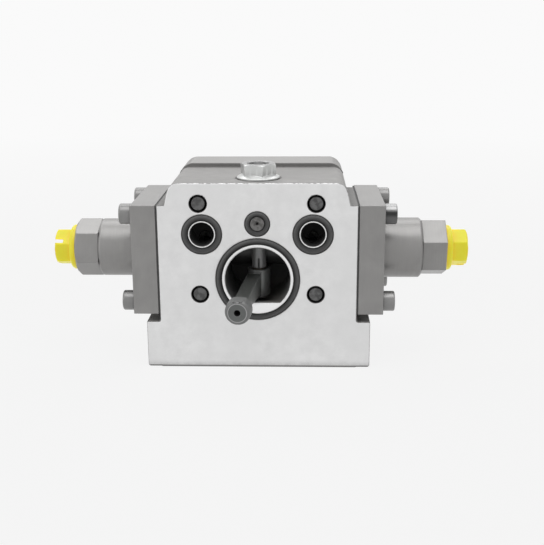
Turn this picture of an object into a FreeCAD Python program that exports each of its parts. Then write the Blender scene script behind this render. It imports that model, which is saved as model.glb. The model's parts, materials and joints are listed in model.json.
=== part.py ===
import FreeCAD, Part
import math
import os

# Hydraulic control valve: a pilot operated displacement control that bolts onto a pump.
# Millimetres. The origin is the centre of the lever's opening, on the machined mounting face.
# +X points at the right pilot port, +Y goes from the mounting face into the body, +Z is up.

# Valve body
body_depth = 76.0
opening_above_base = 46.5
opening_below_top = 48.6
base_width = 113.0
base_height = 24.2
base_corner_radius = 9.0
base_foot_chamfer = 0.8
base_ledge = 7.0
pad_ledge = 3.7
pad_corner_radius = 8.0
ledge_relief_radius = 1.0
flank_lean = 14.5
top_corner_radius = 5.5
rear_ridge_radius = 7.5
rear_corner_radius = 10.0
rear_top_radius = 1.5
rear_rise = 2.2
rear_rise_start = 50.3

# Lever opening and the chamber behind it
opening_radius = 16.25
chamber_depth = 37.5
lip_height = 4.3
lip_thickness = 3.0
ring_groove_inner_radius = 18.0
ring_groove_width = 3.0
ring_groove_depth = 2.4

# Cross bore of spool and sleeve, on the axis of both covers
bore_y = 29.25
bore_z = 9.6
bore_radius = 9.0

# Servo ports and supply port in the mounting face
servo_port_x = 27.5
servo_port_z = 23.0
servo_port_radius = 6.0
servo_port_depth = 14.0
servo_groove_inner_radius = 6.9
servo_groove_width = 3.1
servo_groove_depth = 2.4
servo_drilling_radius = 3.0
supply_port_z = 28.3
supply_seat_radius = 6.25
supply_seat_depth = 2.2
supply_drilling_x = 19.0
supply_drilling_radius = 1.5
orifice_head_radius = 3.5
orifice_shank_radius = 3.0
orifice_shank_length = 6.0
orifice_dimple_radius = 1.5
orifice_dimple_depth = 0.8

# Mounting screws, M8, pulled back so that their ends lie just inside the face
mount_spacing_x = 58.0
mount_spacing_z = 46.2
mount_centre_z = 15.3
mount_hole_radius = 4.4
mount_counterbore_radius = 7.2
mount_counterbore_depth = 16.0
mount_screw_radius = 4.0
mount_screw_length = 73.0
mount_head_radius = 6.5
mount_head_height = 8.0
mount_socket_flats = 6.0
mount_end_inset = 0.4
mount_end_radius = 3.35

# Side covers
cover_depth = 58.0
cover_height = 55.8
cover_thickness = 12.6
gasket_thickness = 0.8
gasket_inset = 0.4
cover_chamber_radius = 9.5
cover_chamber_length = 20.0
boss_radius = {"left": 15.0, "right": 15.6}
boss_length = {"left": 20.2, "right": 20.8}
boss_rim_chamfer = 1.0

# Cover screws, M6
cover_screw_end_margin = 6.5
cover_screw_top_margin = 5.4
cover_screw_radius = 3.0
cover_screw_hole_radius = 3.3
cover_screw_grip = 11.0
cover_screw_end_radius = 2.4
cover_head_radius = 5.1
cover_head_height = 6.0
cover_socket_flats = 5.0
tapped_hole_reserve = 2.0
head_edge_radius = 0.9

# Port adapters in the bosses, and the shipping plugs in the adapters
adapter_flats = 26.1
adapter_hex_length = 12.4
adapter_thread_radius = 11.0
adapter_thread_length = 11.2
adapter_hex_turn = {"left": 10.4, "right": 7.6}
adapter_end_chamfered = {"left": True, "right": False}
adapter_spigot_radius = 5.4
adapter_spigot_length = 3.0
pilot_port_radius = 7.0
pilot_port_depth = 12.0
pilot_passage_radius = 2.0
adapter_seal_radius = 0.9
plug_flange_radius = 11.7
plug_flange_thickness = 3.4
plug_flange_round = 1.6
plug_flange_round_steps = 5
plug_flats = 16.9
plug_hex_length = 7.9
plug_hex_turn = {"left": 51.5, "right": 1.0}
plug_shank_length = 9.0
plug_slot_width = 1.8
plug_slot_depth = 4.3
plug_slot_offset = 2.8
plug_slot_turn = {"left": 14.0, "right": -118.0}
orifice_plug_radius = 3.0
orifice_plug_length = 5.0
orifice_hole_radius = 0.5
orifice_slot_depth = 1.0

# Spool and feedback sleeve
spool_radius = 5.0
spool_end_inset = 3.5
spool_end_land = 8.0
spool_waist_radius = 3.7
spool_waist_half_length = 10.0
spool_groove_radius = 3.6
servo_land_width = 6.6
supply_groove_start = 15.0
spool_stub_radius = 3.0
spool_stub_length = 6.0
sleeve_end_inset = 10.5
annulus_width = 5.0
annulus_depth = 1.5
sleeve_port_radius = 1.6

# Centring springs and their seats
seat_radius = 8.5
seat_thickness = 2.5
seat_hub_radius = 5.2
seat_hub_length = 3.0
spring_mean_radius = 6.6
spring_wire_radius = 0.8
spring_turns = 6.0

# Adjusting screw with its eccentric pivot, and the lock nut
adjuster_y = 16.5
adjuster_thread_radius = 5.0
adjuster_thread_length = 22.0
adjuster_shaft_radius = 3.7
adjuster_shaft_end = 2.4
adjuster_below_nut_top = 1.0
adjuster_socket_flats = 5.0
adjuster_socket_depth = 5.0
adjuster_slot_width = 0.9
adjuster_slot_length = 5.2
adjuster_slot_depth = 1.4
adjuster_seal_z = 25.0
adjuster_seal_radius = 0.9
eccentricity = 0.3
pivot_radius = 2.5
nut_flats = 16.1
nut_height = 8.0
nut_flange_radius = 10.85
nut_flange_thickness = 1.3
nut_turn = 45.3
nut_edge_chamfer = 0.3
nut_mouth_chamfer = 0.9
nut_recess_depth = 0.5
nut_recess_clearance = 0.6

# Feedback lever
lever_lean = 5.3
hub_radius = 5.7
hub_height = 14.0
hub_gap = 0.6
bush_radius = 3.6
bar_width = 6.5
bar_offset = 1.8
bar_drop = 2.0
bar_neck_height = 5.2
bar_hub_depth = 12.0
lever_reach = 60.5
knob_radius = 6.05
knob_length = 10.0
knob_drop = 3.5
knob_face_radius = 4.4
knob_edge_length = 1.9
knob_edge_steps = 3
knob_neck_radius = 4.6
knob_flat_height = 5.2
knob_centre_hole_radius = 1.35
knob_centre_hole_depth = 3.0
inner_arm_width = 8.0
inner_arm_height = 5.6
inner_arm_gap = 0.7
drive_pin_radius = 2.5
drive_pin_tip_gap = 0.4
drive_pin_tip_chamfer = 0.5
ring_outer_radius = 4.7
ring_thickness = 0.8
ring_groove_inset = 0.5
pivot_tail = 0.9

# O-rings and fits
o_ring_side_gap = 0.05
running_clearance = 0.02
thread_clearance = 0.04
pivot_clearance = 0.1
drive_pin_side_clearance = 0.08
drive_pin_swing_room = 0.5
axial_gap = 0.1
lead_chamfer = 1.0

# Places worked out from the driving dimensions
base_z = -opening_above_base
top_z = opening_below_top
pad_top_z = bore_z + cover_height / 2
base_top_z = base_z + base_height
gasket_x = base_width / 2 - base_ledge
trunk_x = gasket_x - pad_ledge
cover_x = gasket_x + gasket_thickness
cover_face_x = cover_x + cover_thickness
cover_screw_spacing_y = cover_depth - 2 * cover_screw_end_margin
cover_screw_spacing_z = cover_height - 2 * cover_screw_top_margin
boss_reach = {side: cover_face_x + length for side, length in boss_length.items()}
pivot_y = adjuster_y + eccentricity
hub_top_z = adjuster_shaft_end - hub_gap
hub_bottom_z = hub_top_z - hub_height
inner_arm_length = bore_y - pivot_y
spool_half_length = gasket_x - spool_end_inset
tank_groove_end = spool_half_length - spool_end_land
sleeve_half_length = gasket_x - sleeve_end_inset
seat_face_x = spool_half_length + seat_thickness
sleeve_shift = inner_arm_length * math.sin(math.radians(lever_lean))
nut_seat_z = top_z - nut_recess_depth
screw_top_z = nut_seat_z + nut_height - adjuster_below_nut_top
thread_bottom_z = screw_top_z - adjuster_thread_length

hexagon_cone_slope = math.tan(math.radians(30))
Vector = FreeCAD.Vector
X_AXIS = Vector(1, 0, 0)
Y_AXIS = Vector(0, 1, 0)
Z_AXIS = Vector(0, 0, 1)
through = 1.0
on_plane = 0.01

os.makedirs("parts", exist_ok=True)


def save(name, shape):
    shape.exportStep("parts/" + name + ".step")


def group(solids):
    return Part.makeCompound(solids)


def block(x0, x1, y0, y1, z0, z1):
    return Part.makeBox(x1 - x0, y1 - y0, z1 - z0, Vector(x0, y0, z0))


def rod_x(radius, x0, x1, y=bore_y, z=bore_z):
    return Part.makeCylinder(radius, x1 - x0, Vector(x0, y, z), X_AXIS)


def rod_y(radius, y0, y1, x, z):
    return Part.makeCylinder(radius, y1 - y0, Vector(x, y0, z), Y_AXIS)


def rod_z(radius, z0, z1, x, y):
    return Part.makeCylinder(radius, z1 - z0, Vector(x, y, z0), Z_AXIS)


def drilling(radius, start, end):
    way = end - start
    return Part.makeCylinder(radius, way.Length, start, way)


def turned_x(outline, y=bore_y, z=bore_z):
    # a solid turned about X from points (x, radius), closed along the axis
    points = [Vector(outline[0][0], y, z)]
    points += [Vector(x, y, z + radius) for x, radius in outline]
    points += [Vector(outline[-1][0], y, z), points[0]]
    face = Part.Face(Part.makePolygon(points))
    return face.revolve(Vector(0, y, z), X_AXIS, 360)


def turned_z(outline, x, y):
    # a solid turned about Z from points (z, radius), closed along the axis
    points = [Vector(x, y, outline[0][0])]
    points += [Vector(x + radius, y, z) for z, radius in outline]
    points += [Vector(x, y, outline[-1][0]), points[0]]
    face = Part.Face(Part.makePolygon(points))
    return face.revolve(Vector(x, y, 0), Z_AXIS, 360)


def hexagon(flats, length, turn):
    # a hexagon prism from the origin along +Z, with one corner turned from +X
    corner = flats / math.sqrt(3)
    points = []
    for step in range(7):
        angle = math.radians(turn + 60 * step)
        points.append(Vector(corner * math.cos(angle), corner * math.sin(angle), 0))
    return Part.Face(Part.makePolygon(points)).extrude(Vector(0, 0, length))


def chamfered_hexagon(flats, length, turn):
    # the cone that a lathe leaves on the outer corners of a hexagon head
    corner = flats / math.sqrt(3)
    fall = (corner - flats / 2) * hexagon_cone_slope
    outline = [(0, corner), (length - fall, corner), (length, flats / 2)]
    return hexagon(flats, length, turn).common(turned_z(outline, 0, 0))


def rounded_rim(radius, end, rounding, steps):
    # points (x, radius) of a disc's rounded rim, which ends at x = end
    points = []
    for step in range(steps + 1):
        angle = math.radians(90 * step / steps)
        x = end - rounding + rounding * math.sin(angle)
        points.append((x, radius - rounding + rounding * math.cos(angle)))
    return points


def along_x(shape, x, y=bore_y, z=bore_z):
    # lays a shape made along +Z along +X, with its own +X pointing down
    shape.rotate(Vector(0, 0, 0), Y_AXIS, 90)
    shape.translate(Vector(x, y, z))
    return shape


def on_side(shape, side):
    # what is built on the right goes to the left by half a turn about the bore's upright axis
    if side == "left":
        shape.rotate(Vector(0, bore_y, 0), Z_AXIS, 180)
    return shape


def o_ring(mean_radius, wire_radius, centre, axis):
    return Part.makeTorus(mean_radius, wire_radius, centre, axis)


def socket_screw(radius, length, head_radius, head_height, flats, end_radius):
    # under the head at the origin, shank along -Z, head along +Z
    chamfer = radius - end_radius
    edge = head_edge_radius
    slope = edge * (1 - math.sqrt(0.5))
    outline = [
        (-length, end_radius),
        (-length + chamfer, radius),
        (0, radius),
        (0, head_radius),
        (head_height - edge, head_radius),
        (head_height - slope, head_radius - slope),
        (head_height, head_radius - edge),
    ]
    screw = turned_z(outline, 0, 0)
    socket_depth = head_height / 2
    socket = hexagon(flats, socket_depth + through, 0)
    socket.translate(Vector(0, 0, head_height - socket_depth))
    return screw.cut(socket)


def mount_screw_places():
    for x in (-mount_spacing_x / 2, mount_spacing_x / 2):
        for z in (-mount_spacing_z / 2, mount_spacing_z / 2):
            yield x, mount_centre_z + z


def cover_screw_places():
    for y in (-cover_screw_spacing_y / 2, cover_screw_spacing_y / 2):
        for z in (-cover_screw_spacing_z / 2, cover_screw_spacing_z / 2):
            yield bore_y + y, bore_z + z


# Valve body: base, side pads and the trunk with its leaning flanks and raised rear part
def trunk(depth_from, depth_to, height, ridge_radius):
    lean = math.tan(math.radians(flank_lean))
    top_x = trunk_x - (height - pad_top_z) * lean
    points = [
        Vector(-trunk_x, depth_from, base_z),
        Vector(trunk_x, depth_from, base_z),
        Vector(trunk_x, depth_from, pad_top_z),
        Vector(top_x, depth_from, height),
        Vector(-top_x, depth_from, height),
        Vector(-trunk_x, depth_from, pad_top_z),
    ]
    face = Part.Face(Part.makePolygon(points + points[:1]))
    solid = face.extrude(Vector(0, depth_to - depth_from, 0))
    ridges = [
        edge for edge in solid.Edges
        if edge.BoundBox.ZMin > height - on_plane and edge.BoundBox.YLength > edge.BoundBox.XLength
    ]
    return solid.makeFillet(ridge_radius, ridges)


def upright_edges(solid, y_least):
    return [
        edge for edge in solid.Edges
        if edge.BoundBox.YMin > y_least
        and edge.BoundBox.XLength < edge.BoundBox.ZLength
        and edge.BoundBox.ZLength > base_height / 2
    ]


def rounded_rear(solid, radius):
    return solid.makeFillet(radius, upright_edges(solid, body_depth - through))


def body_blank():
    front_trunk = trunk(0, body_depth, top_z, top_corner_radius)
    rear_trunk = trunk(rear_rise_start, body_depth, top_z + rear_rise, rear_ridge_radius)
    upper = front_trunk.fuse(rear_trunk).removeSplitter()
    plan = block(-trunk_x, trunk_x, 0, body_depth, base_z, top_z + rear_rise)
    plan = rounded_rear(plan, rear_corner_radius)
    rear_rim = [
        edge for edge in plan.Edges
        if edge.BoundBox.ZMin > top_z and edge.BoundBox.YMax > body_depth - rear_corner_radius / 2
    ]
    upper = upper.common(plan.makeFillet(rear_top_radius, rear_rim))
    half = base_width / 2
    base = block(-half, half, 0, body_depth, base_z, base_top_z)
    base = rounded_rear(base, base_corner_radius)
    foot = [edge for edge in base.Edges if edge.BoundBox.ZMax < base_z + through]
    base = base.makeChamfer(base_foot_chamfer, foot)
    pad_rear_y = bore_y + cover_depth / 2
    pads = block(-gasket_x, gasket_x, 0, pad_rear_y, base_z, pad_top_z)
    rear_top = [
        edge for edge in pads.Edges
        if edge.BoundBox.YMin > pad_rear_y - through and edge.BoundBox.ZMin > pad_top_z - through
    ]
    pads = pads.makeFillet(pad_corner_radius, rear_top)
    blank = base.fuse([pads, upper]).removeSplitter()
    return blank.makeFillet(ledge_relief_radius, ledge_edges(blank))


def ledge_edges(blank):
    # the two inner corners where the pads rise from the base
    found = []
    for edge in blank.Edges:
        box = edge.BoundBox
        along_y = box.YLength > box.XLength + box.ZLength
        on_base = abs(box.ZMin - base_top_z) < on_plane
        at_pad = abs(abs(box.XMin) - gasket_x) < on_plane
        if along_y and on_base and at_pad:
            found.append(edge)
    return found


def servo_drillings():
    bores = []
    for x in (-servo_port_x, servo_port_x):
        bores.append(rod_y(servo_port_radius, -through, servo_port_depth, x, servo_port_z))
        # from the middle of the port down to the cross bore's axis, but it stops inside the bore's wall
        start = Vector(x, servo_port_depth / 2, servo_port_z)
        axis = Vector(x, bore_y, bore_z)
        end = axis - (axis - start).normalize() * (bore_radius - through)
        bores.append(drilling(servo_drilling_radius, start, end))
    return bores


def supply_drillings():
    seat = rod_y(supply_seat_radius, -through, supply_seat_depth, 0, supply_port_z)
    socket_end = supply_seat_depth + orifice_shank_length
    socket = rod_y(orifice_shank_radius, 0, socket_end, 0, supply_port_z)
    bores = [seat, socket]
    for side in (-1, 1):
        start = Vector(side * orifice_shank_radius / 2, socket_end - through, supply_port_z)
        end = Vector(side * supply_drilling_x, bore_y, bore_z + bore_radius - through)
        bores.append(drilling(supply_drilling_radius, start, end))
    return bores


def ring_groove(inner_radius, width, depth, x, z):
    outer = rod_y(inner_radius + width, -through, depth, x, z)
    return outer.cut(rod_y(inner_radius, -through, depth, x, z))


def lever_chamber():
    chamber = rod_y(opening_radius, -through, chamber_depth, 0, 0)
    lip_top_z = lip_height - opening_radius
    lip = block(
        -opening_radius, opening_radius, -through, lip_thickness,
        -opening_radius - through, lip_top_z,
    )
    return chamber.cut(lip)


def adjuster_bore():
    recess_radius = nut_flange_radius + nut_recess_clearance
    recess = rod_z(recess_radius, nut_seat_z, top_z + through, 0, adjuster_y)
    thread_floor_z = thread_bottom_z - tapped_hole_reserve
    thread = rod_z(
        adjuster_thread_radius + thread_clearance, thread_floor_z, top_z, 0, adjuster_y
    )
    shaft = rod_z(adjuster_shaft_radius + running_clearance, 0, thread_floor_z, 0, adjuster_y)
    return [recess, thread, shaft]


def valve_body():
    cuts = [lever_chamber()]
    cuts.append(ring_groove(ring_groove_inner_radius, ring_groove_width, ring_groove_depth, 0, 0))
    for x in (-servo_port_x, servo_port_x):
        cuts.append(
            ring_groove(
                servo_groove_inner_radius, servo_groove_width, servo_groove_depth, x, servo_port_z
            )
        )
    cuts.append(rod_x(bore_radius, -gasket_x - through, gasket_x + through))
    cuts += servo_drillings() + supply_drillings() + adjuster_bore()
    for x, z in mount_screw_places():
        cuts.append(rod_y(mount_hole_radius, -through, body_depth, x, z))
        seat_y = body_depth - mount_counterbore_depth
        cuts.append(rod_y(mount_counterbore_radius, seat_y, body_depth + through, x, z))
    tapped_depth = cover_screw_grip + tapped_hole_reserve
    for y, z in cover_screw_places():
        for start in (-gasket_x - through, gasket_x - tapped_depth):
            length = tapped_depth + through
            cuts.append(rod_x(cover_screw_radius + thread_clearance, start, start + length, y, z))
    return body_blank().cut(cuts)


# Orifice insert of the supply port
def orifice_insert():
    head = rod_y(orifice_head_radius, 0, supply_seat_depth, 0, supply_port_z)
    end = supply_seat_depth + orifice_shank_length - through
    shank = rod_y(orifice_shank_radius - thread_clearance, 0, end, 0, supply_port_z)
    hole = rod_y(orifice_hole_radius, -through, end + through, 0, supply_port_z)
    dimple = Part.makeCone(
        orifice_dimple_radius, orifice_hole_radius, orifice_dimple_depth,
        Vector(0, 0, supply_port_z), Y_AXIS,
    )
    return head.fuse(shank).removeSplitter().cut([hole, dimple])


def face_o_ring(inner_radius, width, depth, x, z):
    wire = width / 2 - o_ring_side_gap
    centre = Vector(x, depth - wire, z)
    return o_ring(inner_radius + width / 2, wire, centre, Y_AXIS)


def mounting_screws():
    screws = []
    for x, z in mount_screw_places():
        screw = socket_screw(
            mount_screw_radius, mount_screw_length, mount_head_radius, mount_head_height,
            mount_socket_flats, mount_end_radius,
        )
        screw.rotate(Vector(0, 0, 0), X_AXIS, -90)
        screw.translate(Vector(x, mount_end_inset + mount_screw_length, z))
        screws.append(screw)
    return group(screws)


# Side covers, their gaskets and screws
def cover(side):
    half_height = cover_height / 2
    half_depth = cover_depth / 2
    reach = boss_reach[side]
    flange = block(
        cover_x, cover_face_x, bore_y - half_depth, bore_y + half_depth,
        bore_z - half_height, bore_z + half_height,
    )
    radius = boss_radius[side]
    rim = boss_rim_chamfer
    boss = turned_x([(cover_x, radius), (reach - rim, radius), (reach, radius - rim)])
    chamber_end = cover_x + cover_chamber_length
    seal_seat_radius = adapter_thread_radius + 2 * adapter_seal_radius
    cuts = [
        rod_x(cover_chamber_radius, cover_x - through, chamber_end),
        rod_x(adapter_thread_radius, chamber_end, reach + through),
        rod_x(seal_seat_radius, reach - 2 * adapter_seal_radius, reach + through),
    ]
    for y, z in cover_screw_places():
        cuts.append(
            rod_x(cover_screw_hole_radius, cover_x - through, cover_face_x + through, y, z)
        )
    return on_side(flange.fuse(boss).cut(cuts), side)


def gasket(side):
    half_height = cover_height / 2 - gasket_inset
    half_depth = cover_depth / 2 - gasket_inset
    sheet = block(
        gasket_x, cover_x, bore_y - half_depth, bore_y + half_depth,
        bore_z - half_height, bore_z + half_height,
    )
    cuts = [rod_x(cover_chamber_radius, gasket_x - through, cover_x + through)]
    for y, z in cover_screw_places():
        cuts.append(
            rod_x(cover_screw_hole_radius, gasket_x - through, cover_x + through, y, z)
        )
    return on_side(sheet.cut(cuts), side)


def cover_screws(side):
    screws = []
    length = cover_thickness + gasket_thickness + cover_screw_grip
    for y, z in cover_screw_places():
        screw = socket_screw(
            cover_screw_radius, length, cover_head_radius, cover_head_height,
            cover_socket_flats, cover_screw_end_radius,
        )
        screws.append(along_x(screw, cover_face_x, y, z))
    return on_side(group(screws), side)


# Port adapter, with the damping orifice in its inner end
def port_adapter(side):
    reach = boss_reach[side]
    inner = reach - adapter_thread_length
    shape_of_hexagon = chamfered_hexagon if adapter_end_chamfered[side] else hexagon
    hexagon_body = along_x(
        shape_of_hexagon(adapter_flats, adapter_hex_length, adapter_hex_turn[side]), reach
    )
    shank = turned_x([
        (inner - adapter_spigot_length, adapter_spigot_radius),
        (inner, adapter_spigot_radius),
        (inner, adapter_thread_radius),
        (reach, adapter_thread_radius),
    ])
    outer = reach + adapter_hex_length
    port_floor = outer - pilot_port_depth
    cuts = [
        rod_x(pilot_port_radius, port_floor, outer + through),
        rod_x(pilot_passage_radius, inner - adapter_spigot_length - through, outer),
        rod_x(
            orifice_plug_radius,
            inner - adapter_spigot_length - through,
            inner - adapter_spigot_length + orifice_plug_length,
        ),
    ]
    return on_side(hexagon_body.fuse(shank).cut(cuts), side)


def adapter_seal(side):
    wire = adapter_seal_radius - o_ring_side_gap
    centre = Vector(boss_reach[side] - adapter_seal_radius, bore_y, bore_z)
    mean = adapter_thread_radius + adapter_seal_radius
    return on_side(o_ring(mean, wire, centre, X_AXIS), side)


def damping_orifice(side):
    start = boss_reach[side] - adapter_thread_length - adapter_spigot_length
    end = start + orifice_plug_length
    plug = rod_x(orifice_plug_radius - thread_clearance, start, end)
    hole = rod_x(orifice_hole_radius, start - through, end + through)
    slot = block(
        start - through, start + orifice_slot_depth,
        bore_y - orifice_plug_radius, bore_y + orifice_plug_radius,
        bore_z - orifice_hole_radius, bore_z + orifice_hole_radius,
    )
    return on_side(plug.cut([hole, slot]), side)


# Shipping plug: threaded shank, round-edged flange and a slotted hexagon
def port_plug(side):
    seat = boss_reach[side] + adapter_hex_length
    flange_end = seat + plug_flange_thickness
    shank = turned_x([
        (seat - plug_shank_length, pilot_port_radius - lead_chamfer),
        (seat - plug_shank_length + lead_chamfer, pilot_port_radius - thread_clearance),
        (seat, pilot_port_radius - thread_clearance),
        (seat, plug_flange_radius),
    ] + rounded_rim(plug_flange_radius, flange_end, plug_flange_round, plug_flange_round_steps))
    head = along_x(
        chamfered_hexagon(plug_flats, plug_hex_length, plug_hex_turn[side]), flange_end
    )
    tip = flange_end + plug_hex_length
    slot = block(
        tip - plug_slot_depth, tip + through,
        bore_y - plug_flange_radius, bore_y + plug_flange_radius,
        bore_z + plug_slot_offset - plug_slot_width / 2,
        bore_z + plug_slot_offset + plug_slot_width / 2,
    )
    slot.rotate(Vector(0, bore_y, bore_z), X_AXIS, plug_slot_turn[side])
    return on_side(shank.fuse(head).cut(slot), side)


# Spool and feedback sleeve in the cross bore
def mirrored(outline):
    left = [(-x, radius) for x, radius in reversed(outline)]
    return left + outline


def control_spool():
    land_start = servo_port_x - servo_land_width / 2
    land_end = servo_port_x + servo_land_width / 2
    radius = spool_radius - running_clearance
    outline = [
        (spool_waist_half_length, spool_waist_radius),
        (spool_waist_half_length, radius),
        (supply_groove_start, radius),
        (supply_groove_start, spool_groove_radius),
        (land_start, spool_groove_radius),
        (land_start, radius),
        (land_end, radius),
        (land_end, spool_groove_radius),
        (tank_groove_end, spool_groove_radius),
        (tank_groove_end, radius),
        (spool_half_length, radius),
        (spool_half_length, spool_stub_radius),
        (spool_half_length + spool_stub_length, spool_stub_radius),
    ]
    return turned_x(mirrored(outline))


def feedback_sleeve():
    radius = bore_radius - running_clearance
    floor = radius - annulus_depth
    outline = []
    for place in (supply_drilling_x, servo_port_x):
        near = place - annulus_width / 2
        far = place + annulus_width / 2
        outline += [(near, radius), (near, floor), (far, floor), (far, radius)]
    outline.append((sleeve_half_length, radius))
    sleeve = turned_x(mirrored(outline))
    cuts = [rod_x(spool_radius, -sleeve_half_length - through, sleeve_half_length + through)]
    for place in (supply_drilling_x, servo_port_x):
        for x in (-place, place):
            for turn in (0, 90):
                hole = rod_z(sleeve_port_radius, -bore_radius, bore_radius, 0, 0)
                hole.rotate(Vector(0, 0, 0), X_AXIS, turn)
                hole.translate(Vector(x, bore_y, bore_z))
                cuts.append(hole)
    # the slot that the lever's drive pin moves in
    half_width = drive_pin_radius + drive_pin_side_clearance
    low = bore_z - bore_radius - through
    front = block(-half_width, half_width, bore_y - drive_pin_swing_room, bore_y, low, bore_z)
    cuts += [front]
    for y in (bore_y - drive_pin_swing_room, bore_y):
        cuts.append(rod_z(half_width, low, bore_z, 0, y))
    sleeve = sleeve.cut(cuts)
    sleeve.translate(Vector(sleeve_shift, 0, 0))
    return sleeve


def spring_seat(side):
    seat = turned_x([
        (spool_half_length, seat_radius),
        (seat_face_x, seat_radius),
        (seat_face_x, seat_hub_radius),
        (seat_face_x + seat_hub_length, seat_hub_radius),
    ])
    hole = rod_x(
        spool_stub_radius + running_clearance,
        spool_half_length - through,
        seat_face_x + seat_hub_length + through,
    )
    return on_side(seat.cut(hole), side)


def centring_spring(side):
    end = boss_reach[side] - adapter_thread_length
    start = seat_face_x
    height = end - start - 2 * spring_wire_radius - 2 * axial_gap
    helix = Part.makeHelix(height / spring_turns, height, spring_mean_radius)
    circle = Part.Circle(Vector(spring_mean_radius, 0, 0), Y_AXIS, spring_wire_radius)
    wire = Part.Wire(circle.toShape())
    coil = Part.Wire(helix).makePipeShell([wire], True, True)
    return on_side(along_x(coil, start + spring_wire_radius + axial_gap), side)


# Adjusting screw, its seal, the ring that keeps the lever on, and the lock nut
def adjusting_screw():
    tail_z = hub_bottom_z - axial_gap - ring_thickness - pivot_tail
    screw = turned_z([
        (adjuster_shaft_end, adjuster_shaft_radius),
        (thread_bottom_z - lead_chamfer, adjuster_shaft_radius),
        (thread_bottom_z, adjuster_thread_radius),
        (screw_top_z - lead_chamfer, adjuster_thread_radius),
        (screw_top_z, adjuster_thread_radius - lead_chamfer),
    ], 0, adjuster_y)
    pivot = rod_z(pivot_radius, tail_z, adjuster_shaft_end + through, 0, pivot_y)
    socket = hexagon(adjuster_socket_flats, adjuster_socket_depth + through, 0)
    socket.translate(Vector(0, adjuster_y, screw_top_z - adjuster_socket_depth))
    front_y = adjuster_y - adjuster_shaft_radius
    slot_half = adjuster_slot_width / 2
    slot = block(
        -slot_half, slot_half, front_y - through, front_y + adjuster_slot_depth,
        adjuster_shaft_end - through, adjuster_shaft_end + adjuster_slot_length,
    )
    seal_floor = adjuster_shaft_radius - 2 * adjuster_seal_radius + 2 * o_ring_side_gap
    seal_half = adjuster_seal_radius + o_ring_side_gap
    seal_groove = rod_z(
        adjuster_shaft_radius + through, adjuster_seal_z - seal_half, adjuster_seal_z + seal_half,
        0, adjuster_y,
    )
    seal_groove = seal_groove.cut(
        rod_z(seal_floor, adjuster_seal_z - seal_half, adjuster_seal_z + seal_half, 0, adjuster_y)
    )
    ring_top_z = hub_bottom_z - axial_gap
    ring_groove_cut = rod_z(
        pivot_radius + through, ring_top_z - ring_thickness, ring_top_z, 0, pivot_y
    )
    ring_groove_cut = ring_groove_cut.cut(
        rod_z(
            pivot_radius - ring_groove_inset, ring_top_z - ring_thickness, ring_top_z, 0, pivot_y
        )
    )
    return screw.fuse(pivot).cut([socket, slot, seal_groove, ring_groove_cut])


def adjuster_seal():
    centre = Vector(0, adjuster_y, adjuster_seal_z)
    mean = adjuster_shaft_radius - adjuster_seal_radius + o_ring_side_gap
    return o_ring(mean, adjuster_seal_radius - o_ring_side_gap, centre, Z_AXIS)


def retaining_ring():
    top = hub_bottom_z - axial_gap
    ring = rod_z(ring_outer_radius, top - ring_thickness, top, 0, pivot_y)
    inner = pivot_radius - ring_groove_inset
    hole = rod_z(inner, top - ring_thickness - through, top + through, 0, pivot_y)
    gap = block(
        -inner, inner, pivot_y, pivot_y + 2 * ring_outer_radius,
        top - ring_thickness - through, top + through,
    )
    return ring.cut([hole, gap])


def lock_nut():
    corner = nut_flats / math.sqrt(3)
    flange = turned_z([
        (0, nut_flange_radius - nut_edge_chamfer),
        (nut_edge_chamfer, nut_flange_radius),
        (nut_flange_thickness, nut_flange_radius),
        (nut_flange_thickness + (nut_flange_radius - nut_flats / 2) / 2, nut_flats / 2),
    ], 0, 0)
    head = hexagon(nut_flats, nut_height, 0)
    fall = (corner - nut_flats / 2) * hexagon_cone_slope
    cone = turned_z([(0, corner), (nut_height - fall, corner), (nut_height, nut_flats / 2)], 0, 0)
    nut = flange.fuse(head.common(cone))
    bore = rod_z(adjuster_thread_radius + thread_clearance, -through, nut_height + through, 0, 0)
    mouth = Part.makeCone(
        adjuster_thread_radius + thread_clearance, adjuster_thread_radius + nut_mouth_chamfer,
        nut_mouth_chamfer, Vector(0, 0, nut_height - nut_mouth_chamfer), Z_AXIS,
    )
    nut = nut.cut([bore, mouth])
    nut.rotate(Vector(0, 0, 0), Z_AXIS, nut_turn)
    nut.translate(Vector(0, adjuster_y, nut_seat_z))
    return nut


# Feedback lever: hub on the pivot, tapered bar with its barrel end, inner arm with the drive pin
def lean(shape):
    shape.rotate(Vector(0, pivot_y, 0), Z_AXIS, -lever_lean)
    return shape


def knob():
    # turned about the bar's own axis, which points away from the hub
    face_x = lever_reach
    back_x = lever_reach - knob_length
    edge = knob_edge_length
    bulge = knob_radius - knob_face_radius
    points = [(back_x, knob_neck_radius), (back_x + edge, knob_radius)]
    for step in range(knob_edge_steps + 1):
        angle = math.radians(90 * step / knob_edge_steps)
        x = face_x - edge + edge * math.sin(angle)
        points.append((x, knob_radius - bulge * (1 - math.cos(angle))))
    barrel = turned_x(points, 0, 0)
    hole = rod_x(knob_centre_hole_radius, face_x - knob_centre_hole_depth, face_x + through, 0, 0)
    top_flat = block(
        back_x - through, face_x + through, -knob_radius, knob_radius,
        knob_flat_height, knob_radius + through,
    )
    return barrel.cut([hole, top_flat])


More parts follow.
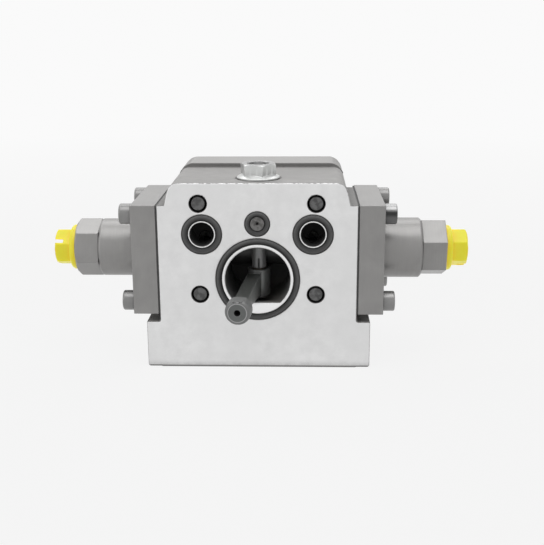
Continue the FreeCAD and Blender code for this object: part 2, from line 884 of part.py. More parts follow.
def feedback_lever():
    hub = rod_z(hub_radius, hub_bottom_z, hub_top_z, 0, pivot_y)
    bar_top_z = hub_top_z - bar_drop
    neck_y = pivot_y - lever_reach + knob_length - lead_chamfer
    side = [
        Vector(0, pivot_y, bar_top_z),
        Vector(0, neck_y, bar_top_z),
        Vector(0, neck_y, bar_top_z - bar_neck_height),
        Vector(0, pivot_y, bar_top_z - bar_hub_depth),
    ]
    bar = Part.Face(Part.makePolygon(side + side[:1])).extrude(Vector(bar_width, 0, 0))
    bar.translate(Vector(-bar_offset - bar_width / 2, 0, 0))
    end = knob()
    end.rotate(Vector(0, 0, 0), Z_AXIS, -90)
    end.translate(Vector(-bar_offset, pivot_y, bar_top_z - knob_drop))
    arm_top_z = bore_z - bore_radius - inner_arm_gap
    arm_half = inner_arm_width / 2
    arm_y = pivot_y + inner_arm_length
    arm = block(-arm_half, arm_half, pivot_y, arm_y, arm_top_z - inner_arm_height, arm_top_z)
    arm_end = rod_z(arm_half, arm_top_z - inner_arm_height, arm_top_z, 0, arm_y)
    bore = rod_z(bush_radius, hub_bottom_z - through, hub_top_z + through, 0, pivot_y)
    pin_hole = rod_z(
        drive_pin_radius, arm_top_z - inner_arm_height - through, arm_top_z + through, 0, arm_y
    )
    lever = hub.fuse([bar, end, arm, arm_end]).removeSplitter().cut([bore, pin_hole])
    return lean(lever)


def lever_bush():
    bush = rod_z(bush_radius, hub_bottom_z, hub_top_z, 0, pivot_y)
    inner = pivot_radius + pivot_clearance
    hole = rod_z(inner, hub_bottom_z - through, hub_top_z + through, 0, pivot_y)
    return lean(bush.cut(hole))


def drive_pin():
    arm_top_z = bore_z - bore_radius - inner_arm_gap
    tip_z = bore_z - spool_radius - drive_pin_tip_gap
    y = pivot_y + inner_arm_length
    pin = turned_z([
        (arm_top_z - inner_arm_height, drive_pin_radius),
        (tip_z - drive_pin_tip_chamfer, drive_pin_radius),
        (tip_z, drive_pin_radius - drive_pin_tip_chamfer),
    ], 0, y)
    return lean(pin)


save("valve_body", valve_body())
save("orifice_insert", orifice_insert())
save(
    "opening_o_ring",
    face_o_ring(ring_groove_inner_radius, ring_groove_width, ring_groove_depth, 0, 0),
)
supply_ring_width = supply_seat_radius - orifice_head_radius
save(
    "supply_o_ring",
    face_o_ring(orifice_head_radius, supply_ring_width, supply_seat_depth, 0, supply_port_z),
)
save("mounting_screws", mounting_screws())
save("control_spool", control_spool())
save("feedback_sleeve", feedback_sleeve())
save("adjusting_screw", adjusting_screw())
save("adjuster_seal", adjuster_seal())
save("retaining_ring", retaining_ring())
save("lock_nut", lock_nut())
save("feedback_lever", feedback_lever())
save("lever_bush", lever_bush())
save("drive_pin", drive_pin())
for side, sign in (("left", -1), ("right", 1)):
    save(side + "_cover", cover(side))
    save(side + "_cover_gasket", gasket(side))
    save(side + "_cover_screws", cover_screws(side))
    save(side + "_port_adapter", port_adapter(side))
    save(side + "_adapter_seal", adapter_seal(side))
    save(side + "_damping_orifice", damping_orifice(side))
    save(side + "_port_plug", port_plug(side))
    save(side + "_spring_seat", spring_seat(side))
    save(side + "_centring_spring", centring_spring(side))
    save(
        side + "_servo_o_ring",
        face_o_ring(
            servo_groove_inner_radius, servo_groove_width, servo_groove_depth,
            sign * servo_port_x, servo_port_z,
        ),
    )
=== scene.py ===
# %% [markdown]
# # A hydraulic control valve, dressed around its CAD frame
#
# The valve bolts onto a pump by its bright front face. A feedback lever comes out of the large
# round opening, oil passes through the three ports above it, and each side carries a square cover
# with a boss, a hexagon adapter and a yellow shipping plug. The CAD model holds every size, so this
# script adds what makes the metal look made: broken edges, tool marks, cast skin, threads and wear.
# It works in metres, in the CAD model's frame: the origin is the middle of the lever's opening,
# X runs to the right, Y into the body, Z up.

import json
import math

import bmesh
import bpy
from mathutils import Matrix, Vector
from mathutils.bvhtree import BVHTree

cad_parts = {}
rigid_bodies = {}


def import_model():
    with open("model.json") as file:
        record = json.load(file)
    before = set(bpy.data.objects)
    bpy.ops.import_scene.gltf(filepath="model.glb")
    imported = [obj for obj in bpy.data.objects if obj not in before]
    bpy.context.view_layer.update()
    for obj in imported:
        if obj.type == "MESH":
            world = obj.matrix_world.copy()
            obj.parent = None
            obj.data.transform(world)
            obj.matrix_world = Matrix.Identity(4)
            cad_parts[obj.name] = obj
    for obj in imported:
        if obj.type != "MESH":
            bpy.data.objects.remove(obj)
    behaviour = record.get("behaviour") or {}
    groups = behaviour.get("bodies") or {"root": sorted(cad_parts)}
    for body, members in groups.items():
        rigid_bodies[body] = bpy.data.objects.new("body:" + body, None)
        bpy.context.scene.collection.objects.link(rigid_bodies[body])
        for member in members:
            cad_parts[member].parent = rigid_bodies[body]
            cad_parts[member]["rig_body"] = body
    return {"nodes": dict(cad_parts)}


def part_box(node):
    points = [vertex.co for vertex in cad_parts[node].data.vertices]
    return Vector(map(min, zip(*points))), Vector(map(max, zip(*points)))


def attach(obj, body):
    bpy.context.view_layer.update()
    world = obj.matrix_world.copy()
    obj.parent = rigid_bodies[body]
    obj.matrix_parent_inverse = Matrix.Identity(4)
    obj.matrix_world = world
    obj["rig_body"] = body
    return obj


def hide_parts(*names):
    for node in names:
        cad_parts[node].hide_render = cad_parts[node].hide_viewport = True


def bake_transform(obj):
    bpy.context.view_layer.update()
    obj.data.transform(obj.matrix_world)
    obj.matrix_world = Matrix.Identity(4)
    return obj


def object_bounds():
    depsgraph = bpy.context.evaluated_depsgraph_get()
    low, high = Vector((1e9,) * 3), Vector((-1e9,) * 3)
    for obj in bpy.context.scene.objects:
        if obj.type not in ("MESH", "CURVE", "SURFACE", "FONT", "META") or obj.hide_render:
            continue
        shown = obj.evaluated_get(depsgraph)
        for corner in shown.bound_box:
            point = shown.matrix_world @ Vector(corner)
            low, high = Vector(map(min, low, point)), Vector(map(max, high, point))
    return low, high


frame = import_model()
nodes = frame["nodes"]
cad_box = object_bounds()
foot_z = cad_box[0][2]
MM = 0.001


def new_object(name, data):
    made = bpy.data.objects.new(name, data)
    bpy.context.collection.objects.link(made)
    return made


print("CAD nodes:", len(nodes), "box:", cad_box)

# %% [markdown]
# ## The camera
#
# The photograph was taken a little from the right and from above. Fitting the front face's corners,
# screw holes and rings to a pinhole camera gave the place, the three turns and the focal length
# below, so the render lines up with the photograph without any shift.

# %% Camera
PHOTO_WIDTH = 544
SENSOR_WIDTH_MM = 36.0
focal_pixels = 925.0
camera_place = Vector((22.3, -443.57, 126.3)) * MM
camera_pitch = 0.2695
camera_yaw = -0.0341
camera_roll = -0.0062

camera_data = bpy.data.cameras.new("camera")
camera_data.sensor_fit = "HORIZONTAL"
camera_data.sensor_width = SENSOR_WIDTH_MM
camera_data.lens = SENSOR_WIDTH_MM * focal_pixels / PHOTO_WIDTH
camera_data.clip_start = 0.01
camera = new_object("camera", camera_data)
# an unturned camera looks straight down, so a quarter turn up comes first
facing = Matrix.Rotation(-camera_yaw, 4, "Z") @ Matrix.Rotation(math.pi / 2 - camera_pitch, 4, "X")
facing = facing @ Matrix.Rotation(camera_roll, 4, "Z")
camera.matrix_world = Matrix.Translation(camera_place) @ facing
bpy.context.scene.camera = camera
bpy.context.scene.view_settings.view_transform = "Standard"
print("lens:", round(camera_data.lens, 2), "mm")

# %% [markdown]
# ## Small helpers for node trees
#
# Every finish is a tree of shader nodes. `node` adds one node and fills its inputs, either with a
# plain value or with a link to another node's output, so a tree reads like a formula.

# %% Node helpers
def connect(tree, value, socket):
    if isinstance(value, bpy.types.NodeSocket):
        tree.links.new(value, socket)
    else:
        socket.default_value = value


def fill(tree, made, inputs):
    for name, value in inputs.items():
        connect(tree, value, made.inputs[name])


def any_node(tree, kind, inputs=None, **settings):
    made = tree.nodes.new(kind)
    for name, value in settings.items():
        setattr(made, name, value)
    fill(tree, made, inputs or {})
    return made


def node(tree, kind, inputs=None, **settings):
    return any_node(tree, "ShaderNode" + kind, inputs, **settings)


def maths(tree, operation, first, second=0.0, clamp=False):
    return node(tree, "Math", {0: first, 1: second}, operation=operation, use_clamp=clamp).outputs[0]


def times(tree, first, *others, clamp=False):
    for other in others:
        first = maths(tree, "MULTIPLY", first, other, clamp)
    return first


def plus(tree, first, second):
    return maths(tree, "ADD", first, second)


def minus(tree, first, second):
    return maths(tree, "SUBTRACT", first, second)


def larger(tree, first, second):
    return maths(tree, "MAXIMUM", first, second)


def vector_node(tree, operation, first, second=(0, 0, 0)):
    # a vector, or one value where the operation gives one
    made = node(tree, "VectorMath", {0: first, 1: second}, operation=operation)
    return made.outputs["Value" if operation in ("LENGTH", "DOT_PRODUCT") else "Vector"]


def mix(tree, share, first, second):
    return node(tree, "Mix", {0: share, 6: first, 7: second}, data_type="RGBA").outputs[2]


def spread(tree, value, low, high, to_low=0.0, to_high=1.0):
    inputs = {"Value": value, "From Min": low, "From Max": high, "To Min": to_low, "To Max": to_high}
    return node(tree, "MapRange", inputs).outputs[0]


def below(tree, value, limit, softness=0.00002):
    return spread(tree, value, limit - softness, limit + softness, 1.0, 0.0)


def noise(tree, place, scale, detail=2.0, roughness=0.5, distortion=0.0):
    inputs = {"Vector": place, "Scale": scale, "Detail": detail, "Roughness": roughness,
              "Distortion": distortion}
    return node(tree, "TexNoise", inputs).outputs["Fac"]


def around_axis(tree, place, centre, axis):
    # distance from a line through centre along a main axis, in metres
    keep = [0.0 if part == axis else 1.0 for part in "XYZ"]
    offset = vector_node(tree, "SUBTRACT", place, centre)
    return vector_node(tree, "LENGTH", vector_node(tree, "MULTIPLY", offset, keep))


def grey(level, warmth=0.0):
    return (level * (1 + warmth), level, level * (1 - warmth), 1)


# %% [markdown]
# ## Stage and light
#
# A plain pale floor under a pale sky. The big soft lamp hangs overhead, so tops are twice as bright
# as fronts, as in the photograph. The floor throws light back up onto the undersides. Seen
# directly or in a reflection, the far floor fades into the backdrop, so no horizon shows.

# %% Floor
floor_radius = 3.0
floor_facets = 64
floor_mesh = bpy.data.meshes.new("floor")
shape = bmesh.new()
bmesh.ops.create_circle(shape, cap_ends=True, segments=floor_facets, radius=floor_radius)
bmesh.ops.translate(shape, verts=shape.verts, vec=(0, 0, foot_z))
shape.to_mesh(floor_mesh)
shape.free()
floor = new_object("floor", floor_mesh)


def seen_directly(tree):
    # 1 for a ray from the camera or from a mirror-like surface
    path = node(tree, "LightPath").outputs
    return larger(tree, path["Is Camera Ray"], path["Is Glossy Ray"])


def empty_tree(owner):
    owner.use_nodes = True
    owner.node_tree.nodes.clear()
    return owner.node_tree


backdrop_level = 0.955
near_glow = 0.91
fade_start, fade_end = 0.2, 1.0
floor_paint = bpy.data.materials.new("floor_paint")
tree = empty_tree(floor_paint)
reach = vector_node(tree, "LENGTH", node(tree, "TexCoord").outputs["Object"])
fade = spread(tree, reach, fade_start, fade_end, near_glow, 1.0)
matt = node(tree, "BsdfDiffuse", {"Color": grey(0.6)})
glow = node(tree, "Emission", {"Color": grey(backdrop_level), "Strength": 1.0})
share = times(tree, seen_directly(tree), fade)
mixed = node(tree, "MixShader", {0: share, 1: matt.outputs[0], 2: glow.outputs[0]})
node(tree, "OutputMaterial", {"Surface": mixed.outputs[0]})
floor.data.materials.append(floor_paint)
print("floor at z", round(foot_z, 4))

# %% World
sky_strength = 0.25
world = bpy.data.worlds.new("studio")
bpy.context.scene.world = world
tree = empty_tree(world)
plain = node(tree, "Background", {"Color": grey(1.0), "Strength": sky_strength})
backdrop = node(tree, "Background", {"Color": grey(backdrop_level), "Strength": 1.0})
mixed = node(tree, "MixShader", {0: seen_directly(tree), 1: plain.outputs[0], 2: backdrop.outputs[0]})
node(tree, "OutputWorld", {"Surface": mixed.outputs[0]})
print("sky strength:", sky_strength)


# %% Lamps
def soft_lamp(name, place, size, power):
    data = bpy.data.lights.new(name, "AREA")
    data.shape = "RECTANGLE"
    data.size, data.size_y = size
    data.energy = power
    lamp = new_object(name, data)
    lamp.location = place
    lamp.rotation_euler = (lamp_target - Vector(place)).to_track_quat("-Z", "Y").to_euler()


lamp_target = Vector((0, 0.03, 0))
soft_lamp("top_lamp", (0.05, -0.18, 0.94), (1.1, 0.7), 4.3)
soft_lamp("back_lamp", (-0.1, 0.65, 0.85), (1.3, 0.5), 3.2)
soft_lamp("left_lamp", (-0.9, -0.5, 0.35), (0.5, 0.6), 0.9)
print("lamps:", len(bpy.data.lights))

# %% [markdown]
# ## Effects that several finishes share
#
# Cast skin, tool marks, lathe rings, oily smudges, worn edges with a painted highlight and painted
# corner shade turn up on more than one piece.
# Each is a shader node group with named inputs, built once. A group puts out heights for a Bump
# node, or masks that mix two colours or two roughnesses.

# %% Group helpers
def node_group(kind, name, inputs, outputs):
    # an input gives its default value, or its socket's kind where it has none
    tree = bpy.data.node_groups.new(name, kind)
    for label, default in inputs.items():
        is_kind = isinstance(default, str)
        kind = "NodeSocket" + (default if is_kind else type(default).__name__.capitalize())
        socket = tree.interface.new_socket(name=label, in_out="INPUT", socket_type=kind)
        if not is_kind:
            socket.default_value = default
    for label, kind in outputs.items():
        tree.interface.new_socket(name=label, in_out="OUTPUT", socket_type="NodeSocket" + kind)
    given = tree.nodes.new("NodeGroupInput").outputs
    result = tree.nodes.new("NodeGroupOutput").inputs
    return tree, given, result


def shader_group(name, inputs, **outputs):
    return node_group("ShaderNodeTree", name, inputs, outputs)


def named(inputs):
    return {label.replace("_", " "): value for label, value in inputs.items()}


def put(tree, group, **inputs):
    return node(tree, "Group", named(inputs), node_tree=group).outputs


def grooves(tree, place, pitch, detail):
    # noise along one coordinate, which changes about once in a pitch
    inputs = {"W": maths(tree, "DIVIDE", place, pitch), "Scale": 1.0, "Detail": detail}
    return node(tree, "TexNoise", inputs, noise_dimensions="1D").outputs["Fac"]


# %% Cast skin: fine grains on a slow swell, with a few small pits
tree, given, result = shader_group("cast skin", {"Place": "Vector"}, Height="Float", Tone="Float")
grains = noise(tree, given["Place"], 1400.0, detail=3.0, roughness=0.6)
swell = noise(tree, given["Place"], 168.0, detail=3.0)
cells = node(tree, "TexVoronoi", {"Vector": given["Place"], "Scale": 350.0})
pits = spread(tree, cells.outputs["Distance"], 0.0, 0.16, -0.8, 0.0)
relief = plus(tree, times(tree, swell, 0.9), times(tree, grains, 0.5))
connect(tree, plus(tree, relief, pits), result["Height"])
connect(tree, spread(tree, swell, 0.32, 0.68), result["Tone"])
cast_skin = tree

# %% Milled marks: the arcs that a face mill leaves as it feeds along X
mill_radius = 60 * MM
mill_feed = 0.8 * MM
tree, given, result = shader_group("milled marks", {"Across": 0.0, "Along": 0.0}, Height="Float")
left_over = minus(tree, mill_radius ** 2, times(tree, given["Across"], given["Across"]))
arc = maths(tree, "SQRT", larger(tree, left_over, 0.0))
connect(tree, grooves(tree, minus(tree, given["Along"], arc), mill_feed, 2.0), result["Height"])
milled_marks = tree

# %% Lathe rings: fine grooves that follow one coordinate
tree, given, result = shader_group("lathe rings", {"Along": 0.0, "Pitch": 0.0004}, Height="Float")
connect(tree, grooves(tree, given["Along"], given["Pitch"], 1.0), result["Height"])
lathe_rings = tree

# %% Drawn grain: long fine streaks, as on bar stock and ground plates
fine_scale, long_scale = 2600.0, 90.0
tree, given, result = shader_group("drawn grain", {"Place": "Vector"}, Height="Float")
streaks = vector_node(tree, "MULTIPLY", given["Place"], (fine_scale, long_scale, long_scale))
connect(tree, noise(tree, streaks, 1.0), result["Height"])
drawn_grain = tree

# %% Smudges: thin oil and fingerprints, which change gloss and colour a little
tree, given, result = shader_group("smudges", {"Place": "Vector", "Size": 0.02}, Share="Float")
scale = maths(tree, "DIVIDE", 1.0, given["Size"])
cloud = noise(tree, given["Place"], scale, detail=3.0, roughness=0.45, distortion=0.6)
connect(tree, spread(tree, cloud, 0.38, 0.66), result["Share"])
smudges = tree

# %% Worn and glinting edges: where the surface turns within a short reach, broken up by a fine noise; the lighter colour there is partly wear and partly a painted highlight
tree, given, result = shader_group(
    "worn and glinting edges", {"Place": "Vector", "Reach": 0.0006, "Gain": 4.0}, Share="Float", Normal="Vector")
rounded = node(tree, "Bevel", {"Radius": given["Reach"]}, samples=4).outputs["Normal"]
plain = node(tree, "NewGeometry").outputs["Normal"]
turned = minus(tree, 1.0, vector_node(tree, "DOT_PRODUCT", rounded, plain))
breakup = spread(tree, noise(tree, given["Place"], 700.0, 3.0), 0.3, 0.65)
share = times(tree, times(tree, turned, given["Gain"]), breakup, clamp=True)
connect(tree, share, result["Share"])
connect(tree, rounded, result["Normal"])
worn_and_glinting_edges = tree

# %% Painted corner shade: where a surface lies close to another one, light doesn't reach, and the colour is painted darker
tree, given, result = shader_group("painted corner shade", {"Place": "Vector", "Reach": 0.004}, Share="Float")
openness = node(tree, "AmbientOcclusion", {"Distance": given["Reach"]}, samples=8).outputs["AO"]
patches = spread(tree, noise(tree, given["Place"], 260.0, 4.0, 0.6), 0.25, 0.7, 0.7, 1.3)
connect(tree, times(tree, minus(tree, 1.0, openness), patches, clamp=True), result["Share"])
painted_corner_shade = tree

# %% Ring shade: an O-ring shows its outer half, and its inner half lies in the groove's shadow
tree, given, result = shader_group(
    "ring shade", {"Place": "Vector", "Centre": "Vector", "Middle": 0.0, "Half width": 0.0},
    Share="Float")
beyond = minus(tree, around_axis(tree, given["Place"], given["Centre"], "Y"), given["Middle"])
beyond = maths(tree, "DIVIDE", beyond, given["Half width"])
connect(tree, spread(tree, beyond, -0.75, 0.35), result["Share"])
ring_shade = tree
print("shared groups:", len(bpy.data.node_groups))

# %% [markdown]
# ## The finishes
#
# Every material starts from one Principled shader and Object coordinates, so a pattern stays on its
# piece when the piece moves. `bare_metal` covers the plain metal parts: a tone that wanders a
# little, tool marks in a Bump node, smudges in the roughness, lighter edges that are partly wear and
# partly a painted highlight, and painted shade in the corners.

# %% Material helpers
def new_material(name):
    material = bpy.data.materials.new(name)
    material.use_nodes = True
    tree = material.node_tree
    shader = tree.nodes["Principled BSDF"]
    place = node(tree, "TexCoord").outputs["Object"]
    return material, tree, shader, place


def bump(tree, height, depth, normal=None):
    inputs = {"Height": height, "Strength": 1.0, "Distance": depth}
    if normal is not None:
        inputs["Normal"] = normal
    return node(tree, "Bump", inputs).outputs["Normal"]


def split_up(tree, place):
    return node(tree, "SeparateXYZ", {0: place}).outputs


def bare_metal(name, colour, edge_wear_and_glint, metallic, roughness, marks, depth, tint=None, corner_shade_share=0.7):
    material, tree, shader, place = new_material(name)
    edge = put(tree, worn_and_glinting_edges, Place=place)
    oily = put(tree, smudges, Place=place, Size=0.014)["Share"]
    height = marks(tree, place)
    tone = spread(tree, height, 0.2, 0.8, 0.96, 1.04)
    darker = [0.9 * part for part in colour[:3]] + [1]
    base = mix(tree, oily, colour, darker)
    if tint:
        base = tint(tree, place, base)
    base = node(tree, "HueSaturation", {"Value": tone, "Color": base}).outputs["Color"]
    # lighter edges, partly wear and partly a painted highlight
    base = mix(tree, edge["Share"], base, edge_wear_and_glint)
    # painted shade in the corners
    shade_in_corners = times(tree, put(tree, painted_corner_shade, Place=place)["Share"], corner_shade_share)
    fill(tree, shader, {
        "Base Color": mix(tree, shade_in_corners, base, grey(0.03)),
        "Roughness": spread(tree, oily, 0.0, 1.0, roughness, roughness * 0.92),
        "Metallic": metallic,
        "Normal": bump(tree, height, depth, edge["Normal"]),
    })
    return material


def rings_along(axis, pitch=0.0004):
    def marks(tree, place):
        return put(tree, lathe_rings, Along=split_up(tree, place)[axis], Pitch=pitch)["Height"]
    return marks


def drawn_streaks(tree, place):
    return put(tree, drawn_grain, Place=place)["Height"]


def fine_blast(scale=2600.0):
    def marks(tree, place):
        return noise(tree, place, scale)
    return marks


# %% Tints: places on a piece that differ from its main colour, several of them painted shade or a painted highlight
adjuster_y = 16.5 * MM
nut_top_z = 55.8 * MM
nut_mouth_radius = 5.7 * MM


def dull_above(height, colour):
    # painted shade: the top of a piece is painted darker than its sides
    def tint(tree, place, base):
        on_top = spread(tree, split_up(tree, place)["Z"], height, height + 0.1 * MM)
        return mix(tree, on_top, base, colour)
    return tint


def nut_shades(tree, place, base):
    # painted shade: the nut's upper face is painted darker than its sides, and its mouth is painted
    # dark
    base = dull_above(nut_top_z, grey(0.40))(tree, place, base)
    mouth_shade = below(tree, around_axis(tree, place, (0, adjuster_y, 0), "Z"), nut_mouth_radius)
    return mix(tree, mouth_shade, base, grey(0.15))


def one_darker_screw(tree, place, base):
    # the upper front screw of the right cover is blackened, painted a little lighter on its lower
    # half, and with a painted highlight along its top
    split = split_up(tree, place)
    share = times(tree, maths(tree, "GREATER_THAN", split["X"], 0.0),
                  maths(tree, "LESS_THAN", split["Y"], 15 * MM),
                  maths(tree, "GREATER_THAN", split["Z"], 20 * MM))
    head_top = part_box("right_cover_screws")[1][2]
    upper = spread(tree, split["Z"], head_top - 6 * MM, head_top - 4.5 * MM)
    dark = mix(tree, upper, grey(0.13), grey(0.035))
    top_highlight = spread(tree, split["Z"], head_top - 3.4 * MM, head_top - 1.8 * MM)
    return mix(tree, share, base, mix(tree, top_highlight, dark, grey(0.42)))


def worn_patches(colour):
    def tint(tree, place, base):
        return mix(tree, spread(tree, noise(tree, place, 420.0, 3.0), 0.42, 0.58), base, colour)
    return tint


# %% Plain metal finishes
WARM = 0.018
cover_finish = bare_metal(
    "ground_plate", grey(0.365, WARM), grey(0.6), 0.4, 0.38, drawn_streaks, 0.01 * MM, corner_shade_share=0.5)
turned_finish = bare_metal(
    "turned_bar", grey(0.36, WARM), grey(0.62), 0.4, 0.3, rings_along("X"), 0.003 * MM,
    corner_shade_share=0.35)
screw_finish = bare_metal(
    "screw_steel", grey(0.29, 0.01), grey(0.55), 0.6, 0.3, fine_blast(), 0.001 * MM, one_darker_screw)
dark_screw_finish = bare_metal(
    "blackened_screw", grey(0.09), grey(0.3), 0.4, 0.45, fine_blast(1200.0), 0.01 * MM,
    worn_patches(grey(0.17)))
# the spool, sleeve and pin inside the body: oily steel, painted darker still as the shade they lie in
oily_and_shaded_finish = bare_metal(
    "oily_and_shaded_steel", grey(0.07), grey(0.16), 0.3, 0.45, rings_along("X"), 0.006 * MM)
insert_finish = bare_metal(
    "orifice_steel", grey(0.13, 0.03), grey(0.3), 0.4, 0.5, fine_blast(900.0), 0.02 * MM,
    worn_patches(grey(0.22, 0.02)), corner_shade_share=0.15)
adjuster_finish = bare_metal(
    "adjuster_steel", grey(0.37), grey(0.5), 0.3, 0.5, rings_along("Z", 0.0005), 0.01 * MM,
    dull_above(30 * MM, grey(0.29)))
zinc_finish = bare_metal(
    "zinc_plate", (0.74, 0.75, 0.74, 1), grey(0.92), 0.6, 0.3, fine_blast(1500.0), 0.0008 * MM,
    nut_shades)
wire_finish = bare_metal(
    "spring_wire", grey(0.36), grey(0.5), 0.8, 0.35, fine_blast(), 0.006 * MM)
brass_finish = bare_metal(
    "turned_brass", (0.62, 0.47, 0.2, 1), (0.85, 0.7, 0.4, 1), 0.9, 0.35,
    rings_along("X", 0.0003), 0.01 * MM)
bush_finish = bare_metal(
    "bush_bronze", (0.5, 0.34, 0.18, 1), (0.75, 0.55, 0.35, 1), 0.9, 0.4,
    rings_along("Z", 0.0003), 0.01 * MM)
print("metal finishes:", len(bpy.data.materials))

# %% [markdown]
# ## The lever's steel
#
# The feedback lever is forged and left dark on its top, and milled on its right flank. Its hub and
# its barrel end are turned, and the barrel end carries the centre hole of that turning. On the
# barrel end a highlight is painted on the shoulder and rim, and the centre hole is painted black as
# shade. One material tells these surfaces apart by their place along and across the leaning bar.

# %% The lever's finish
lever_lean = math.radians(5.3)
lever_pivot = Vector((0.0, 16.8, 0.0)) * MM
across_bar = Vector((math.cos(lever_lean), -math.sin(lever_lean), 0.0))
knob_axis_offset = -1.8 * MM
knob_axis_z = -3.7 * MM
bar_flank_offset = 1.2 * MM
centre_hole_radius = 1.5 * MM
knob_rim_radius = 4.4 * MM
hub_front_y = lever_pivot.y - 5.7 * MM
knob_back_y = lever_pivot.y - 50.5 * MM


def knob_marks(tree, across, height, is_knob, colour):
    # the barrel end's shoulder and rim painted lighter as a highlight, and the hole that the lathe's
    # centre left in it, painted black as shade
    beside = minus(tree, across, knob_axis_offset)
    above = minus(tree, height, knob_axis_z)
    out = maths(tree, "SQRT", plus(tree, times(tree, beside, beside), times(tree, above, above)))
    rim_light = spread(tree, out, knob_rim_radius - 0.3 * MM, knob_rim_radius - 0.1 * MM)
    lit_shoulder = times(tree, rim_light, is_knob)
    colour = mix(tree, times(tree, lit_shoulder, 0.6), colour, grey(0.26))
    rim_light = times(tree, lit_shoulder, below(tree, out, knob_rim_radius + 0.15 * MM, 0.1 * MM))
    colour = mix(tree, rim_light, colour, grey(0.5))
    # the centre hole is painted black as shade
    hole = times(tree, below(tree, out, centre_hole_radius, 0.1 * MM), is_knob)
    return mix(tree, hole, colour, grey(0.01)), hole


def lever_steel():
    material, tree, shader, place = new_material("lever_steel")
    from_pivot = vector_node(tree, "SUBTRACT", place, lever_pivot)
    across = vector_node(tree, "DOT_PRODUCT", from_pivot, across_bar)
    split = split_up(tree, place)
    in_front = below(tree, split["Y"], hub_front_y, 0.3 * MM)
    is_knob = below(tree, split["Y"], knob_back_y, 0.3 * MM)
    on_flank = spread(tree, across, bar_flank_offset, bar_flank_offset + 0.3 * MM)

    edge = put(tree, worn_and_glinting_edges, Place=place, Reach=0.0007, Gain=3.0)
    oily = put(tree, smudges, Place=place, Size=0.012)["Share"]
    scale_marks = noise(tree, place, 1500.0, 3.0)
    forged = mix(tree, scale_marks, (0.065, 0.07, 0.065, 1), (0.115, 0.12, 0.115, 1))
    turned = (0.29, 0.3, 0.292, 1)
    milled = (0.30, 0.308, 0.30, 1)
    colour = mix(tree, in_front, turned, forged)
    colour = mix(tree, times(tree, on_flank, in_front), colour, milled)
    colour = mix(tree, is_knob, colour, (0.18, 0.19, 0.185, 1))
    colour = mix(tree, times(tree, oily, 0.35), colour, grey(0.08))
    # lighter edges, partly wear and partly a painted highlight
    colour = mix(tree, edge["Share"], colour, grey(0.5))
    colour, hole = knob_marks(tree, across, split["Z"], is_knob, colour)
    fill(tree, shader, {
        "Base Color": colour,
        "Metallic": 0.35,
        "Roughness": larger(tree, spread(tree, scale_marks, 0.3, 0.7, 0.36, 0.46), hole),
        "Normal": bump(tree, scale_marks, 0.02 * MM, edge["Normal"]),
    })
    return material


lever_finish = lever_steel()
print("lever finish nodes:", len(lever_finish.node_tree.nodes))

# %% [markdown]
# ## The casting
#
# One piece of iron carries three surfaces. The mounting face and the underside are milled bright,
# the outside is blasted cast skin, and the holes and grooves are dark with oil and painted darker
# still as the shade inside them. The material tells them apart by where they are: the face lies at
# y = 0, and everything inside lies behind it within a known distance of a hole's axis. The border
# between milled face and cast skin wanders by a few tenths of a millimetre, which gives the bright
# ragged line along the top edge. Painted shade also darkens the seam in front of the raised part,
# the foot's front edge, the two ledges and every corner, and painted light brightens the top of the
# raised part.

# %% Where the casting is machined, and where it is dark
opening = (0.0, 0.0, 0.0)
supply_port = (0.0, 0.0, 28.3 * MM)
servo_ports = [(side * 27.5 * MM, 0.0, 23.0 * MM) for side in (-1, 1)]
screw_places = [(x * 29.0 * MM, 0.0, (15.3 + z * 23.1) * MM) for x in (-1, 1) for z in (-1, 1)]
# each hole in the face as (centre, radius, depth)
face_holes = [(opening, 21.15 * MM, 40.0 * MM), (supply_port, 6.4 * MM, 10.0 * MM)]
face_holes += [(centre, 10.1 * MM, 16.0 * MM) for centre in servo_ports]
face_holes += [(centre, 4.5 * MM, 70.0 * MM) for centre in screw_places]
# the bright lips inside the O-rings as (centre, radius)
lips = [(opening, 18.0 * MM)] + [(centre, 6.95 * MM) for centre in servo_ports]
inner_reach = 33.5 * MM
inner_depth = 60.0 * MM
step_y = 50.3 * MM
step_least_z = 42.0 * MM
trunk_x = 46.0 * MM
ledge_z = 37.5 * MM
raised_z = 50.9 * MM


def where_milled(tree, place, split):
    # the face and the underside, with a border that is ragged only near the top
    border = times(tree, spread(tree, noise(tree, place, 900.0, 3.0), 0.4, 0.7), 0.4 * MM,
                   spread(tree, split["Z"], 39 * MM, 43 * MM, 0.1, 1.0))
    face = below(tree, minus(tree, split["Y"], border), 0.04 * MM)
    return larger(tree, face, below(tree, split["Z"], foot_z + 0.2 * MM))


def where_inside(tree, place, depth):
    # one mask for all holes and the chamber behind them, and one for the holes but the opening
    dark = 0.0
    in_port = 0.0
    for centre, radius, reach in face_holes:
        near = below(tree, around_axis(tree, place, centre, "Y"), radius)
        inside = times(tree, near, below(tree, depth, reach))
        dark = larger(tree, dark, inside)
        if centre != opening:
            in_port = larger(tree, in_port, inside)
    chamber = below(tree, around_axis(tree, place, opening, "Y"), inner_reach)
    dark = larger(tree, dark, times(tree, chamber, below(tree, depth, inner_depth)))
    return times(tree, dark, spread(tree, depth, 0.05 * MM, 0.35 * MM)), in_port


def where_sooty(tree, place, split):
    # painted shade along the seam in front of the raised part, along the foot's front edge, and in
    # every corner
    depth = split["Y"]
    height = split["Z"]
    seam = times(tree, spread(tree, depth, step_y - 0.9 * MM, step_y - 0.3 * MM),
                 below(tree, depth, step_y + 0.25 * MM),
                 spread(tree, height, step_least_z, step_least_z + MM))
    foot_edge = times(tree, below(tree, height, foot_z + 1.05 * MM, 0.15 * MM),
                      below(tree, depth, 0.9 * MM))
    seam_and_foot_shade = larger(tree, times(tree, seam, 0.44), times(tree, foot_edge, 0.8))
    shade_in_corners = put(tree, painted_corner_shade, Place=place)["Share"]
    return larger(tree, seam_and_foot_shade, times(tree, shade_in_corners, 0.8))


